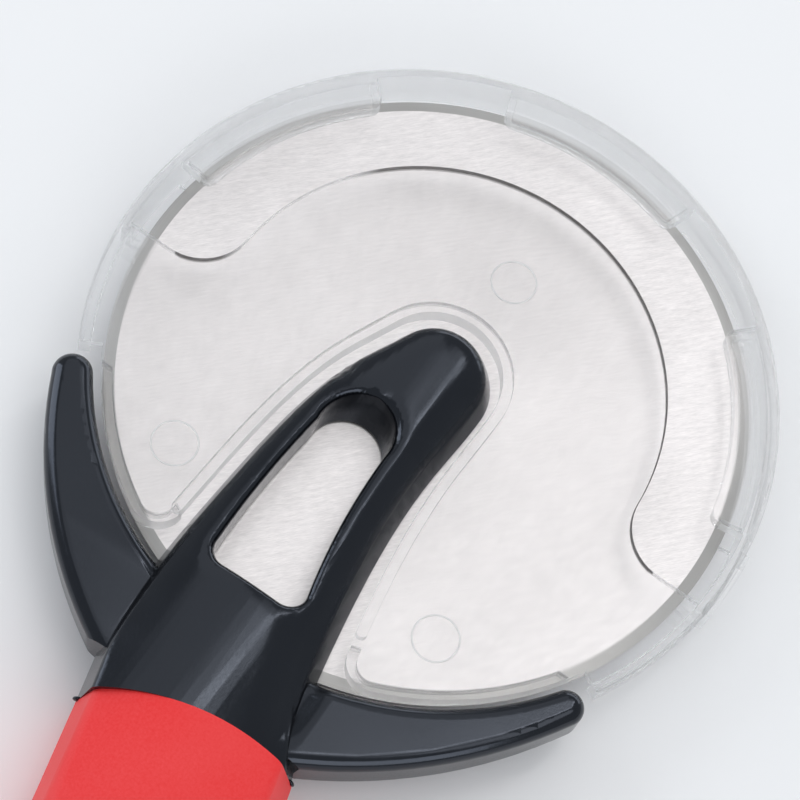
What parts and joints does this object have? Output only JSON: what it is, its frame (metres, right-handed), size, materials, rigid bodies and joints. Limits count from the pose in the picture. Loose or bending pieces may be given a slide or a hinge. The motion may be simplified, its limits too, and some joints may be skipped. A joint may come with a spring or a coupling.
{
  "type": "pizza cutter wheel",
  "caption": "Pizza cutter wheel: steel disc on an axle in a two-shell yoke with finger guard arms, soft-grip handle and a clear blade guard that pulls off.",
  "frame": {"origin": "on the blade's axis, on the flat back of the yoke that the tool rests on", "axes": "+Z along the blade's axis from the back to the front, -Y from the blade to the handle, +Y towards the guard's crown"},
  "size_m": [0.1094, 0.2348, 0.0212],
  "materials": {
    "blade_steel": "brushed in one direction, ground bevel at the edge",
    "hub_steel": "turned",
    "pin_steel": "ground",
    "washer_plastic": "moulded, unfilled",
    "yoke_black": "moulded, semi-gloss with fine surface texture",
    "screw_steel": "zinc plated",
    "core_black": "moulded",
    "grip_red": "soft touch, satin",
    "guard_clear": "clear moulded plastic, polished"
  },
  "bodies": {
    "frame": {"axle_pin": "pin_steel", "front_washer": "washer_plastic", "back_washer": "washer_plastic", "yoke_front_shell": "yoke_black", "yoke_back_shell": "yoke_black", "shell_screws": "screw_steel", "handle_core": "core_black", "grip_sleeve": "grip_red", "end_cap": "yoke_black"},
    "wheel": {"blade": "blade_steel", "hub_bush": "hub_steel", "hub_collar": "hub_steel"},
    "guard": {"blade_guard": "guard_clear"}
  },
  "joints": [
    {"name": "blade_spin", "type": "hinge", "parent": "frame", "child": "wheel", "pos_m": [0, 0, 0.009], "axis": [0, 0, 1], "continuous": true},
    {"name": "guard_slide", "type": "slide", "parent": "frame", "child": "guard", "axis": [0, 1, 0], "range_m": [0, 0.115]}
  ]
}
